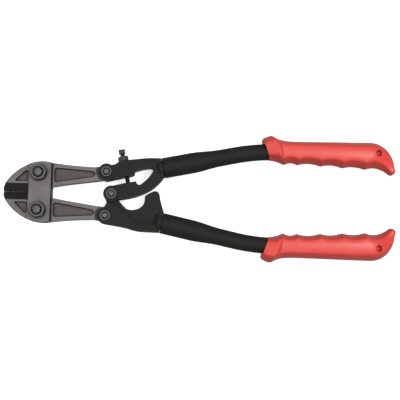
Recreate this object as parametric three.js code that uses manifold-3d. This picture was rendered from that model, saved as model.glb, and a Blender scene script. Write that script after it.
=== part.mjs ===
// Bolt cutters, 350 mm class, lying closed on their back.
//
// Two forged jaws turn on two bolts between a front and a rear strap. The tail of each jaw is pinned in
// the fork of a handle lever, and the two levers meet on the handle pivot. A tapered steel tube carries
// on from each lever, with a soft grip over its end. A set screw with a locknut spreads the slit in the
// upper lever, which moves the pivot and so sets how tightly the blades close.
//
// Lengths are millimetres and angles are degrees. The tool is drawn with the handle pivot at x = 0,
// y = 0, +X towards the grips and +Z out of the front face. The last lines move the whole tool so that
// the origin is under the middle of its box, on the surface it lies on.

import * as THREE from 'three';
import { mergeVertices } from 'three/addons/utils/BufferGeometryUtils.js';
import Module from 'manifold-3d';

const wasm = await Module();
wasm.setup();

// ---------------------------------------------------------------- driving dimensions

const GAP = 0.3;                 // clearance left between pieces that touch
const MIDDLE = 12.6;             // height of the tool's middle plane

const PIVOT = { x: 0, y: 0 };
const LINK = { x: -5, y: 19.9 };         // upper link pin, the lower one is its mirror image
const JAW_BOLT = { x: -64.6, y: 16.75 }; // upper jaw bolt, the lower one is its mirror image

const JAW = { thickness: 9, tongue: 7, tailRadius: 6.4, relief: 9.4, pocketDepth: 1.6, edge: 0.03,
  bevelReach: 7.4 };
const STRAP = { thickness: 4, left: -73.4, right: -54 };
const BOLT = { radius: 3.9, hole: 4.35, headHeight: 3.5, acrossFlats: 13, nutHeight: 6.5, end: 1.5 };
const PIN = { radius: 3.5, hole: 3.85, tenon: 2, head: 2.55, washerRadius: 4.7, washerThickness: 1 };

const LEVER = { thickness: 14, forkRadius: 7.3, ringRadius: 7.2, slot: 7.8, tailSlotRadius: 9.6 };
const WEB = { thickness: 7, tongueRadius: 6.6, slotRadius: 9 };
const OPENING = { handle: 50, jawRatio: 0.155 };  // how far the handles open, and each jaw for that

const SCREW = { tip: { x: 14.5, y: 10.8 }, lean: 12.7, radius: 2.1, hole: 2.5, underHead: 27, head: 5.9,
  headHeight: 4, nutAcrossFlats: 8, nutHeight: 4.4, nutFrom: 20.3 };
const TUBE = { start: { x: 46, y: 25.1 }, slope: 12, length: 181, bendStart: 67.5, bendLength: 34.8,
  wide: 9.4, narrow: 7.65, rear: 7.45, rearSlope: 1, taperStart: 27, taperEnd: 54, wall: 2, spigot: 6.3,
  spigotLength: 22, socket: 6.8, collar: 9.25 };
const GRIP = { front: 141.5, bore: 7.8, boreDepth: 183, shank: 96, endLength: 26, tipBulge: 3.4,
  flangeCrest: 9.5 };

// ---------------------------------------------------------------- finishes

const finish = (color, roughness, metalness) => new THREE.MeshStandardMaterial({ color, roughness, metalness });
const forgedSteel = finish(0x7a7674, 0.45, 0.9);
const platedSteel = finish(0x8d8a87, 0.35, 0.95);
const blackPaint = finish(0x2e2e2d, 0.5, 0.1);
const blackTube = finish(0x2b2b2b, 0.45, 0.2);
const redVinyl = finish(0xe8605a, 0.4, 0);

// ---------------------------------------------------------------- small helpers

const rad = THREE.MathUtils.degToRad;
const polar = (centre, radius, angle) => new THREE.Vector2(
  centre.x + radius * Math.cos(rad(angle)),
  centre.y + radius * Math.sin(rad(angle)),
);
const points2 = (pairs) => pairs.map(([x, y]) => new THREE.Vector2(x, y));

// A closed geometry as a solid. Triangles that collapse at a pole are dropped, and the faces point out.
function solidOf(geometry) {
  const bare = geometry.clone();
  bare.deleteAttribute('normal');
  bare.deleteAttribute('uv');
  const merged = mergeVertices(bare, 1e-4);
  const place = merged.getAttribute('position');
  const corners = Array.from(merged.index.array);
  const kept = [];
  let volume = 0;
  for (let i = 0; i < corners.length; i += 3) {
    const [a, b, c] = corners.slice(i, i + 3);
    if (a === b || b === c || c === a) continue;
    kept.push([a, b, c]);
    const [p, q, r] = [a, b, c].map((k) => new THREE.Vector3().fromBufferAttribute(place, k));
    volume += p.dot(q.cross(r));
  }
  const triangles = kept.flatMap(([a, b, c]) => (volume > 0 ? [a, b, c] : [a, c, b]));
  return new wasm.Manifold(new wasm.Mesh({
    numProp: 3,
    vertProperties: new Float32Array(place.array),
    triVerts: new Uint32Array(triangles),
  }));
}

// The geometry of a solid, or of its mirror image across the tool's centre line.
function geometryOf(solid, mirrored = false) {
  const mesh = solid.getMesh();
  const geometry = new THREE.BufferGeometry();
  const place = Float32Array.from(mesh.vertProperties);
  const index = Uint32Array.from(mesh.triVerts);
  geometry.setAttribute('position', new THREE.BufferAttribute(place, 3));
  geometry.setIndex(new THREE.BufferAttribute(index, 1));
  if (mirrored) {
    geometry.scale(1, -1, 1);
    for (let i = 0; i < index.length; i += 3) {
      [index[i], index[i + 1]] = [index[i + 1], index[i]];
    }
  }
  geometry.computeVertexNormals();
  return geometry;
}

const union = (solids) => solids.reduce((whole, next) => whole.add(next));
const cut = (solid, tools) => tools.reduce((rest, tool) => rest.subtract(tool), solid);

// A flat plate with the given outline, between two heights.
function plate(shape, low, high, curveSegments = 7) {
  const geometry = new THREE.ExtrudeGeometry(shape, { depth: high - low, bevelEnabled: false, curveSegments });
  geometry.translate(0, 0, low);
  return solidOf(geometry);
}

// A plate of the given thickness on the tool's middle plane.
const midPlate = (shape, thickness, curveSegments) => plate(
  shape, MIDDLE - thickness / 2, MIDDLE + thickness / 2, curveSegments,
);

// A turned body about Z from [radius, height] pairs that start and end on the axis.
function turnedGeometry(profile, segments = 20) {
  const geometry = new THREE.LatheGeometry(points2(profile), segments);
  geometry.rotateX(Math.PI / 2);
  return geometry;
}

function turned(profile, centre = PIVOT, segments = 20) {
  const geometry = turnedGeometry(profile, segments);
  geometry.translate(centre.x, centre.y, 0);
  return solidOf(geometry);
}

const rod = (centre, radius, low, high, segments = 20) => turned(
  [[0, low], [radius, low], [radius, high], [0, high]], centre, segments,
);

// An outline through the given corners, each rounded over the same distance where its sides allow.
function roundedPolygon(corners, radius) {
  const shape = new THREE.Shape();
  const list = points2(corners);
  list.forEach((corner, i) => {
    const before = list[(i + list.length - 1) % list.length];
    const after = list[(i + 1) % list.length];
    const reach = Math.min(radius, 0.45 * corner.distanceTo(before), 0.45 * corner.distanceTo(after));
    const enter = corner.clone().add(before.clone().sub(corner).setLength(reach));
    const leave = corner.clone().add(after.clone().sub(corner).setLength(reach));
    if (i === 0) shape.moveTo(enter.x, enter.y);
    else shape.lineTo(enter.x, enter.y);
    shape.quadraticCurveTo(corner.x, corner.y, leave.x, leave.y);
  });
  shape.closePath();
  return shape;
}

// A hexagon of a given size across its flats, with one flat facing the given angle.
function hexagon(acrossFlats, flatAngle) {
  const corner = acrossFlats / Math.sqrt(3);
  const corners = [0, 1, 2, 3, 4, 5].map((k) => polar(PIVOT, corner, flatAngle + 30 + 60 * k));
  return new THREE.Shape(corners);
}

// The room that a tongue sweeps in a fork while its direction goes from one angle to the other.
function sweptRoom(centre, radius, fromAngle, toAngle) {
  const reach = 34;
  const start = polar(centre, radius, toAngle + 90);
  const end = polar(centre, radius, fromAngle - 90);
  const farStart = polar(start, reach, toAngle);
  const farEnd = polar(end, reach, fromAngle);
  const farMiddle = polar(centre, 1.7 * reach, (fromAngle + toAngle) / 2);
  const shape = new THREE.Shape();
  shape.moveTo(farStart.x, farStart.y);
  shape.lineTo(start.x, start.y);
  shape.absarc(centre.x, centre.y, radius, rad(toAngle + 90), rad(fromAngle + 270), false);
  shape.lineTo(farEnd.x, farEnd.y);
  shape.lineTo(farMiddle.x, farMiddle.y);
  shape.closePath();
  return shape;
}

// ---------------------------------------------------------------- the tool and its pieces

const tool = new THREE.Group();

function addPiece(name, solid, material, mirrored = false) {
  const mesh = new THREE.Mesh(geometryOf(solid, mirrored), material);
  mesh.name = name;
  tool.add(mesh);
}

function addPair(name, solid, material) {
  addPiece(`upper_${name}`, solid, material);
  addPiece(`lower_${name}`, solid, material, true);
}

// ---------------------------------------------------------------- jaws

function jawOutline() {
  const shape = new THREE.Shape();
  shape.moveTo(-96.6, JAW.edge);
  shape.lineTo(-96.6, 3.3);
  shape.bezierCurveTo(-93.3, 13.7, -78, 27.25, -63.6, 27.25);
  shape.splineThru(points2([[-51.8, 26.3], [-36, 24.7], [-15.8, 23.6]]));
  const crown = polar(LINK, JAW.tailRadius, 130);
  shape.lineTo(crown.x, crown.y);
  shape.absarc(LINK.x, LINK.y, JAW.tailRadius, rad(130), rad(-40), true);
  shape.lineTo(-3.8, 12.7);
  shape.quadraticCurveTo(-4.6, 12, -7.5, 12.1);
  shape.splineThru(points2([[-24, 9.8], [-40, 7.4], [-54, 5.1]]));
  shape.lineTo(-67, JAW.edge);
  shape.closePath();
  return shape;
}

const frontPocket = roundedPolygon([[-75.2, 9.6], [-75.2, 18.7], [-77.1, 18.7], [-86.4, 9.6]], 1.5);
const tailPocket = roundedPolygon([[-51.2, 9.3], [-17, 15.1], [-14.6, 17.5], [-17, 19.7], [-51.2, 22]], 2.2);

// The wedge that is ground away on the front of the blade, from its shoulder down to the edge.
function bevelCutter() {
  const half = JAW.thickness / 2;
  const profile = new THREE.Shape(points2([[-2, 0.15], [JAW.edge, 0.15], [JAW.bevelReach, half],
    [JAW.bevelReach, half + 2], [-2, half + 2]]));
  const length = 36;
  const geometry = new THREE.ExtrudeGeometry(profile, { depth: length, bevelEnabled: false });
  const across = new THREE.Vector3(0, 1, 0);
  const up = new THREE.Vector3(0, 0, 1);
  const along = new THREE.Vector3(1, 0, 0);
  geometry.applyMatrix4(new THREE.Matrix4().makeBasis(across, up, along));
  geometry.translate(-99, 0, MIDDLE);
  return geometry;
}

// A forged pocket with sloping walls: its outline is 0.8 mm smaller all round at the floor than at the face.
function pocketCutter(outline) {
  const draft = 0.4;
  const face = MIDDLE + JAW.thickness / 2;
  const section = new wasm.CrossSection([outline.getPoints(4).map(({ x, y }) => [x, y])]);
  const mouth = section.offset(draft, 'Round').extrude(1).translate([0, 0, face]);
  const floor = section.offset(-draft, 'Round').extrude(0.1).translate([0, 0, face - JAW.pocketDepth]);
  return wasm.Manifold.hull([mouth, floor]);
}

const onRearFace = (solid) => solid.translate([0, 0, -MIDDLE]).mirror([0, 0, 1]).translate([0, 0, MIDDLE]);

function jaw() {
  const half = JAW.thickness / 2;
  const cutters = [];
  for (const front of [solidOf(bevelCutter()), pocketCutter(frontPocket), pocketCutter(tailPocket)]) {
    cutters.push(front, onRearFace(front));
  }
  for (const [low, high] of [[JAW.tongue / 2, half + 1], [-half - 1, -JAW.tongue / 2]]) {
    cutters.push(rod(LINK, JAW.relief, MIDDLE + low, MIDDLE + high));
  }
  cutters.push(rod(JAW_BOLT, BOLT.hole, 0, 2 * MIDDLE));
  cutters.push(rod(LINK, PIN.hole, 0, 2 * MIDDLE));
  return cut(midPlate(jawOutline(), JAW.thickness), cutters);
}

addPair('jaw', jaw(), forgedSteel);

// ---------------------------------------------------------------- straps, jaw bolts and nuts

const strapOffset = JAW.thickness / 2 + GAP;

function strap(low) {
  const { left, right } = STRAP;
  const middle = (left + right) / 2;
  const shape = new THREE.Shape();
  shape.moveTo(left, -24.8);
  shape.quadraticCurveTo(middle, -28.7, right, -26.3);
  shape.lineTo(right, 26.3);
  shape.quadraticCurveTo(middle, 28.7, left, 24.8);
  shape.closePath();
  const holes = [1, -1].map((side) => rod(
    { x: JAW_BOLT.x, y: side * JAW_BOLT.y }, BOLT.hole, 0, 2 * MIDDLE,
  ));
  return cut(plate(shape, low, low + STRAP.thickness), holes);
}

addPiece('front_strap', strap(MIDDLE + strapOffset), forgedSteel);
addPiece('rear_strap', strap(MIDDLE - strapOffset - STRAP.thickness), forgedSteel);

const nutSeat = MIDDLE + strapOffset + STRAP.thickness + GAP;
const NUT_FLAT_ANGLE = 42;

// A hexagon whose corners are turned off to a circle at its upper face, and lower face if asked.
function chamferedHexagon(acrossFlats, flatAngle, low, high, bothEnds) {
  const corner = acrossFlats / Math.sqrt(3);
  const face = 0.95 * acrossFlats / 2;
  const drop = (corner - face) * 0.55;
  const lowFace = bothEnds ? [[0, low], [face, low], [corner, low + drop]] : [[0, low], [corner + 1, low]];
  const highFace = [[corner, high - drop], [face, high], [0, high]];
  const envelope = turned([...lowFace, ...highFace]);
  return plate(hexagon(acrossFlats, flatAngle), low, high).intersect(envelope);
}

function jawBolt() {
  const head = chamferedHexagon(BOLT.acrossFlats, 12, 0, BOLT.headHeight, false);
  const flipped = turned([[0, 0], [5.8, 0], [7.6, 0.8], [7.6, BOLT.headHeight], [0, BOLT.headHeight]]);
  const top = nutSeat + BOLT.nutHeight + BOLT.end;
  const shaft = turned([[0, 1], [BOLT.radius, 1], [BOLT.radius, top - 0.9], [2.9, top - 0.3], [0, top]]);
  return head.intersect(flipped).add(shaft);
}

function jawNut() {
  const body = chamferedHexagon(BOLT.acrossFlats, NUT_FLAT_ANGLE, nutSeat, nutSeat + BOLT.nutHeight, true);
  return body.subtract(rod(PIVOT, BOLT.hole, 0, 2 * MIDDLE + 20));
}

for (const [side, y] of [['upper', JAW_BOLT.y], ['lower', -JAW_BOLT.y]]) {
  for (const [name, solid] of [['jaw_bolt', jawBolt()], ['jaw_nut', jawNut()]]) {
    const mesh = new THREE.Mesh(geometryOf(solid), platedSteel);
    mesh.name = `${side}_${name}`;
    mesh.position.set(JAW_BOLT.x, y, 0);
    tool.add(mesh);
  }
}

// ---------------------------------------------------------------- adjusting screw

const screwAxis = new THREE.Matrix4().makeRotationFromEuler(new THREE.Euler(-Math.PI / 2, 0, 0))
  .premultiply(new THREE.Matrix4().makeRotationZ(rad(SCREW.lean)))
  .premultiply(new THREE.Matrix4().makeTranslation(SCREW.tip.x, SCREW.tip.y, MIDDLE));

const onScrewAxis = (geometry) => solidOf(geometry.applyMatrix4(screwAxis));

function adjustingScrew() {
  const shank = turnedGeometry([[0, 0], [1.5, 0], [SCREW.radius, 0.7], [SCREW.radius, SCREW.underHead + 1],
    [0, SCREW.underHead + 1]], 16);
  const half = SCREW.head / 2;
  const square = roundedPolygon([[-half, -half], [half, -half], [half, half], [-half, half]], 0.9);
  const head = new THREE.ExtrudeGeometry(square, { depth: SCREW.headHeight - 1, bevelEnabled: true,
    bevelThickness: 0.5, bevelSize: 0.5, bevelOffset: -0.5, bevelSegments: 1, curveSegments: 2 });
  head.translate(0, 0, SCREW.underHead + 0.5);
  return onScrewAxis(shank).add(onScrewAxis(head));
}

function adjustingLocknut() {
  const top = SCREW.nutFrom + SCREW.nutHeight;
  const body = chamferedHexagon(SCREW.nutAcrossFlats, 90, SCREW.nutFrom, top, true);
  const bored = body.subtract(rod(PIVOT, SCREW.hole, 0, top + 5, 16));
  return onScrewAxis(geometryOf(bored));
}

addPiece('adjusting_screw', adjustingScrew(), platedSteel);
addPiece('adjusting_locknut', adjustingLocknut(), platedSteel);

// ---------------------------------------------------------------- handle axis

// The point and heading of a handle's centre line at a distance from the lever's end face.
function handleAxis(distance) {
  const slope = rad(TUBE.slope);
  const radius = TUBE.bendLength / (slope - rad(TUBE.rearSlope));
  const straight = Math.min(distance, TUBE.bendStart);
  const bent = THREE.MathUtils.clamp(distance - TUBE.bendStart, 0, TUBE.bendLength);
  const rest = Math.max(distance - TUBE.bendStart - TUBE.bendLength, 0);
  const heading = slope - bent / radius;
  return {
    heading,
    x: TUBE.start.x + straight * Math.cos(slope) + radius * (Math.sin(slope) - Math.sin(heading))
      + rest * Math.cos(heading),
    y: TUBE.start.y + straight * Math.sin(slope) + radius * (Math.cos(heading) - Math.cos(slope))
      + rest * Math.sin(heading),
  };
}

// A turned body whose axis follows the handle: heights in the profile become distances along it.
function alongHandle(profile, segments = 18) {
  const geometry = new THREE.LatheGeometry(points2(profile), segments);
  const place = geometry.getAttribute('position');
  for (let i = 0; i < place.count; i += 1) {
    const { x, y, heading } = handleAxis(place.getY(i));
    const across = place.getX(i);
    place.setXYZ(i, x - across * Math.sin(heading), y + across * Math.cos(heading), MIDDLE + place.getZ(i));
  }
  return solidOf(geometry);
}

const bendStations = (from, to, count) => Array.from(
  { length: count + 1 }, (_, i) => from + ((to - from) * i) / count,
);

function tubeRadius(distance) {
  const taper = THREE.MathUtils.smoothstep(distance, TUBE.taperStart, TUBE.taperEnd);
  const swaged = THREE.MathUtils.lerp(TUBE.wide, TUBE.narrow, taper);
  const rear = THREE.MathUtils.smoothstep(distance, TUBE.taperEnd, TUBE.bendStart + TUBE.bendLength);
  return swaged - rear * (TUBE.narrow - TUBE.rear);
}

function tube() {
  const front = GAP;
  const stations = [
    front + 0.8,
    ...bendStations(TUBE.taperStart, TUBE.taperEnd, 4),
    ...bendStations(TUBE.bendStart, TUBE.bendStart + TUBE.bendLength, 5),
    TUBE.length,
  ];
  const outside = stations.map((s) => [tubeRadius(s), s]);
  const inside = stations.slice(2).map((s) => [Math.min(TUBE.socket, tubeRadius(s) - TUBE.wall), s]);
  const profile = [
    [TUBE.socket, front],
    [TUBE.wide - 0.7, front],
    ...outside,
    ...inside.reverse(),
    [TUBE.socket, TUBE.taperStart],
    [TUBE.socket, front],
  ];
  return alongHandle(profile);
}

addPair('tube', tube(), blackTube);

// The round end of a lever: a collar against the tube's end face and a spigot inside the tube.
const leverSocket = () => union([
  alongHandle([[0, -7], [6.5, -7], [TUBE.collar, -3.4], [TUBE.collar, 0], [0, 0]]),
  alongHandle([[0, -1], [TUBE.spigot, -1], [TUBE.spigot, TUBE.spigotLength - 1],
    [TUBE.spigot - 1, TUBE.spigotLength], [0, TUBE.spigotLength]]),
]);

// ---------------------------------------------------------------- upper lever

function upperLeverOutline() {
  const shape = new THREE.Shape();
  const crown = polar(LINK, LEVER.forkRadius, 56);
  shape.moveTo(crown.x, crown.y);
  shape.absarc(LINK.x, LINK.y, LEVER.forkRadius, rad(56), rad(225), false);
  shape.lineTo(-6.4, 12.1);
  shape.quadraticCurveTo(-5.9, 11.6, -4.4, 11.9);
  shape.lineTo(18.4, 17.4);
  shape.quadraticCurveTo(20.3, 17.9, 20.3, 19.7);
  shape.quadraticCurveTo(20.4, 21.5, 22.4, 22.1);
  shape.splineThru(points2([[27.9, 23.7], [34, 24.7]]));
  shape.quadraticCurveTo(38.2, 24.6, 36.7, 20.8);
  shape.splineThru(points2([[34.1, 16.5], [31, 13], [26.9, 9.3]]));
  shape.quadraticCurveTo(24.7, 7.8, 23.1, 9.1);
  shape.quadraticCurveTo(22, 10.2, 22.1, 11.6);
  shape.lineTo(12, 9.8);
  const ringTop = polar(PIVOT, LEVER.ringRadius, 80);
  shape.lineTo(ringTop.x, ringTop.y);
  shape.absarc(PIVOT.x, PIVOT.y, LEVER.ringRadius, rad(80), rad(296), false);
  shape.quadraticCurveTo(4.7, -5.3, 7.3, -4.8);
  shape.splineThru(points2([[15.4, -3.4], [23.5, -1.1], [31.5, 2.5], [37.7, 6.4], [43.7, 12.1], [46.9, 16.6]]));
  shape.lineTo(44.2, 33.3);
  shape.splineThru(points2([[32, 33.1], [24, 32.2], [14.7, 30.9]]));
  shape.lineTo(6.6, 29.4);
  shape.lineTo(3.2, 26.9);
  shape.quadraticCurveTo(1.4, 26, crown.x, crown.y);
  shape.closePath();
  return shape;
}

function pinHoles(holes) {
  return holes.map((centre) => rod(centre, PIN.hole, 0, 2 * MIDDLE));
}

function upperLever() {
  const body = midPlate(upperLeverOutline(), LEVER.thickness).add(leverSocket());
  const tailSlot = midPlate(sweptRoom(LINK, LEVER.tailSlotRadius, 125, 180), LEVER.slot);
  const webSlot = midPlate(sweptRoom(PIVOT, WEB.slotRadius, 165, 285), LEVER.slot);
  const screwHole = onScrewAxis(turnedGeometry(
    [[0, 1], [SCREW.hole, 1], [SCREW.hole, SCREW.underHead], [0, SCREW.underHead]], 16,
  ));
  return cut(body, [tailSlot, webSlot, screwHole, ...pinHoles([LINK, PIVOT])]);
}

addPiece('upper_lever', upperLever(), blackPaint);

// ---------------------------------------------------------------- lower lever

const lowerLink = { x: LINK.x, y: -LINK.y };

// The thin web: the tongue on the handle pivot, the curved gap below it and the stop horn.
function lowerWebOutline() {
  const shape = new THREE.Shape();
  const ringStart = polar(PIVOT, WEB.tongueRadius, -30);
  shape.moveTo(ringStart.x, ringStart.y);
  shape.absarc(PIVOT.x, PIVOT.y, WEB.tongueRadius, rad(-30), rad(188), false);
  shape.splineThru(points2([[-5.1, -5.2], [-4.1, -9], [-5.8, -12]]));
  shape.lineTo(-4, -22);
  shape.lineTo(30, -32);
  shape.lineTo(46, -28);
  shape.lineTo(48, -16.4);
  shape.splineThru(points2([[46.1, -10.5], [44.6, -5.5], [43.7, -0.6]]));
  shape.quadraticCurveTo(42.8, 3.6, 39.8, 3.6);
  shape.quadraticCurveTo(37.8, 3.6, 35, 1.9);
  shape.lineTo(31.3, -0.4);
  shape.quadraticCurveTo(30.2, -1.2, 30.2, -2.8);
  shape.splineThru(points2([[29.7, -7.6], [26.4, -11.8], [21.2, -13.9], [15.1, -13.7], [11.9, -11.4]]));
  shape.lineTo(8.1, -7.4);
  shape.closePath();
  return shape;
}

// The thick body: the fork for the jaw tail and the arm that runs back to the tube.
function lowerBodyOutline() {
  const shape = new THREE.Shape();
  const heel = polar(lowerLink, LEVER.forkRadius, 135);
  shape.moveTo(heel.x, heel.y);
  shape.absarc(lowerLink.x, lowerLink.y, LEVER.forkRadius, rad(135), rad(258), false);
  shape.splineThru(points2([[12, -30], [19.8, -32.1], [28, -33.3], [44.2, -33.7]]));
  shape.lineTo(47.4, -16.6);
  shape.lineTo(44.2, -16.4);
  shape.quadraticCurveTo(42.2, -18, 41.8, -20.8);
  shape.lineTo(41.2, -25.2);
  shape.quadraticCurveTo(40.8, -27.3, 37.5, -27.5);
  shape.splineThru(points2([[28, -27.4], [22, -25.5], [12.1, -17.3], [5, -10.8]]));
  shape.quadraticCurveTo(3.4, -9.3, 1.2, -9.1);
  shape.lineTo(-3.8, -8.6);
  shape.lineTo(-5.8, -12);
  shape.closePath();
  return shape;
}

// Where the handle pivot pin stands in the lower lever's own axes once the handles are partly open.
// The links carry it a little off the centre line, so its bearing is drawn as the path that it takes.
function pinTravel(share) {
  const jawTurn = rad(-OPENING.jawRatio * OPENING.handle * share);
  const turn = rad(OPENING.handle * share) + jawTurn;
  const hinge = new THREE.Vector2(JAW_BOLT.x, JAW_BOLT.y);
  const link = new THREE.Vector2(LINK.x, LINK.y);
  const moved = link.clone().rotateAround(hinge, jawTurn);
  const offLine = moved.y - link.rotateAround(new THREE.Vector2(), turn).y;
  return new THREE.Vector2(0, 2 * offLine).rotateAround(new THREE.Vector2(), turn);
}

function lowerLever() {
  const socket = solidOf(geometryOf(leverSocket(), true));
  const body = union([
    midPlate(lowerBodyOutline(), LEVER.thickness),
    midPlate(lowerWebOutline(), WEB.thickness),
    socket,
  ]);
  const tailSlot = midPlate(sweptRoom(lowerLink, LEVER.tailSlotRadius, 180, 235), LEVER.slot);
  const tongue = midPlate(lowerWebOutline(), WEB.thickness).intersect(
    rod(PIVOT, 17, 0, 2 * MIDDLE),
  );
  const travel = [0, 0.1, 0.2, 0.3, 0.4, 0.5, 0.6, 0.7, 0.8, 0.9, 1].map(pinTravel);
  const bearing = travel.map((centre) => rod(centre, PIN.hole + 0.15, 0, 2 * MIDDLE));
  const forked = cut(body, [tailSlot, ...pinHoles([lowerLink])]);
  return cut(forked.add(cut(tongue, [tailSlot])), bearing);
}

addPiece('lower_lever', lowerLever(), blackPaint);

// ---------------------------------------------------------------- pins and their washers

// A shouldered pin with its two ends spread over the washers.
function linkPin() {
  const shoulder = LEVER.thickness / 2 - 0.1;
  const seat = LEVER.thickness / 2 + PIN.washerThickness + 2 * GAP;
  const side = [[PIN.radius, shoulder], [PIN.tenon, shoulder], [PIN.tenon, seat], [PIN.head, seat],
    [PIN.head, seat + 0.3], [1.7, seat + 0.7], [0, seat + 0.8]];
  const lowerSide = side.map(([radius, height]) => [radius, -height]).reverse();
  const profile = [...lowerSide, ...side].map(([radius, height]) => [radius, MIDDLE + height]);
  return turned(profile);
}

// A washer whose bore opens out in a countersink on the outside.
function pinWasher(outward) {
  const low = LEVER.thickness / 2 + GAP;
  const high = low + PIN.washerThickness;
  const bore = PIN.tenon + GAP;
  const section = [[bore, low], [PIN.washerRadius, low], [PIN.washerRadius, high - 0.25],
    [PIN.washerRadius - 0.3, high], [3.6, high], [bore + 0.4, low + 0.45], [bore, low + 0.45], [bore, low]];
  return turned(section.map(([radius, height]) => [radius, MIDDLE + outward * height]));
}

const pinPlaces = { upper_link: LINK, lower_link: lowerLink, handle_pivot: PIVOT };
for (const [place, centre] of Object.entries(pinPlaces)) {
  const pieces = { pin: linkPin(), front_washer: pinWasher(1), rear_washer: pinWasher(-1) };
  for (const [name, solid] of Object.entries(pieces)) {
    const mesh = new THREE.Mesh(geometryOf(solid), platedSteel);
    mesh.name = `${place}_${name}`;
    mesh.position.set(centre.x, centre.y, 0);
    tool.add(mesh);
  }
}

// ---------------------------------------------------------------- grips

const FINGER_RIDGES = [12.7, 27.5, 48.9, 69.3, 90.1];  // where the ridges between the fingers stand
const RIDGE_HEIGHT = 1.8;

// How far the inner side swells at a distance from the front: full at a ridge, nothing between two.
function ridgeSwell(a) {
  const last = FINGER_RIDGES.length - 1;
  const next = FINGER_RIDGES.findIndex((ridge) => a < ridge);
  if (next <= 0) {
    const beyond = next === 0 ? FINGER_RIDGES[0] - a : a - FINGER_RIDGES[last];
    return Math.max(0, 1 - beyond / 9) ** 2;
  }
  const [from, to] = [FINGER_RIDGES[next - 1], FINGER_RIDGES[next]];
  return ((2 * (a - from)) / (to - from) - 1) ** 2;
}

// The grip's outline in its own axes, as distance from the front and height over the axis.
const outerEdge = new THREE.SplineCurve(points2([[0, 11.5], [2.2, 13.2], [8.1, 15.4], [12.4, 12.8],
  [16.3, 11.1], [22.4, 10.4], [32.6, 10.2], [60, 10.2], [80, 10.2], [GRIP.shank, 10.1]]));
const outerEnd = new THREE.CubicBezierCurve(...points2(
  [[GRIP.shank, 10.1], [108, 10.1], [118, -0.4], [118, -14]],
));
const innerEnd = new THREE.CubicBezierCurve(...points2(
  [[GRIP.shank, -13.8], [103, -13.8], [107.4, -16], [112.1, -19.8]],
));

// Height of the outer edge over the grip's axis at a distance from the front face.
function outerHeight(a) {
  const { points } = outerEdge;
  const next = Math.max(1, points.findIndex((point) => point.x >= a));
  const [p, q] = [points[next - 1], points[next]];
  return outerEdge.getPoint((next - 1 + (a - p.x) / (q.x - p.x)) / (points.length - 1)).y;
}

const innerHeight = (a) => -(8 + 2.1 * THREE.MathUtils.smoothstep(a, 0, 12)
  + 3.7 * THREE.MathUtils.smoothstep(a, 20, 102));
const ridgeAt = (a) => RIDGE_HEIGHT * ridgeSwell(a) * Math.min(a / 8, 1);

// Half the grip's depth: a cone up to the flange's crest, a step down, and a body that thins to the tip.
function halfDepth(a) {
  const cone = 2.9 * Math.min(a / GRIP.flangeCrest, 1);
  const step = 1.6 * THREE.MathUtils.smoothstep(a, GRIP.flangeCrest, 14);
  const swell = 0.4 * THREE.MathUtils.smoothstep(a, 30, 85);
  return 9.5 + cone - step + swell - 4.6 * THREE.MathUtils.smoothstep(a, 94, 122);
}

// The outer point, inner point and half depth of the section at a station. The front sections lean
// forward at their outer side, and the last ones turn round the hooked end.
function gripStation(a) {
  const { shank, endLength } = GRIP;
  if (a <= shank) {
    const lean = 0.3 * (1 - THREE.MathUtils.smoothstep(a, 6, 30));
    const lip = 1 - THREE.MathUtils.smoothstep(a, 0, 8);
    const [top, bottom] = [outerHeight(a), innerHeight(a)];
    return {
      outer: new THREE.Vector2(a - (lean + 0.14 * lip) * top, top),
      inner: new THREE.Vector2(a - (lean - 0.09 * lip) * bottom, bottom),
      depth: halfDepth(a),
      ridge: ridgeAt(a),
    };
  }
  const turn = (a - shank) / endLength;
  return {
    outer: outerEnd.getPoint(turn), inner: innerEnd.getPoint(turn), depth: halfDepth(a), ridge: ridgeAt(a),
  };
}

// A quarter of the section, from its crown to its edge, as shares of the half width and the half depth.
const QUARTER = [[0, 1], [0.34, 0.98], [0.58, 0.9], [0.73, 0.68], [0.88, 0.4], [1, 0]];
const SECTION = [
  ...QUARTER,
  ...QUARTER.slice(1, -1).reverse().map(([across, out]) => [across, -out]),
  ...QUARTER.slice(0, -1).map(([across, out]) => [-across, -out]),
  ...QUARTER.slice(1).reverse().map(([across, out]) => [-across, out]),
];

// One ring of points round a station, in the grip's own axes. A finger ridge moves only the inner part.
function gripRing({ outer, inner, depth, ridge }) {
  const middle = outer.clone().add(inner).multiplyScalar(0.5);
  const half = outer.clone().sub(inner).multiplyScalar(0.5);
  return SECTION.map(([across, out]) => {
    const drop = ridge * THREE.MathUtils.smoothstep(-across, 0.1, 0.65);
    return new THREE.Vector3(middle.x + half.x * across, middle.y + half.y * across - drop, depth * out);
  });
}

// The tip closes in a dome over the last section.
function tipStations(last) {
  const middle = last.outer.clone().add(last.inner).multiplyScalar(0.5);
  const half = last.outer.clone().sub(last.inner).multiplyScalar(0.5);
  const forward = new THREE.Vector2(half.y, -half.x).normalize();
  return [35, 65, 84].map((angle) => {
    const centre = middle.clone().addScaledVector(forward, GRIP.tipBulge * Math.sin(rad(angle)));
    const shrink = Math.cos(rad(angle));
    return {
      outer: centre.clone().addScaledVector(half, shrink),
      inner: centre.clone().addScaledVector(half, -shrink),
      depth: last.depth * shrink,
      ridge: 0,
    };
  });
}

const GRIP_STATIONS = [0, 2.5, 5.5, 8, 10.5, 12.7, 19, 23, 27.5, 33, 38, 43, 49, 54, 59, 64, 69.3, 74, 79, 83.5,
  90, 96, 101, 106, 111, 116, 122];

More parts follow.
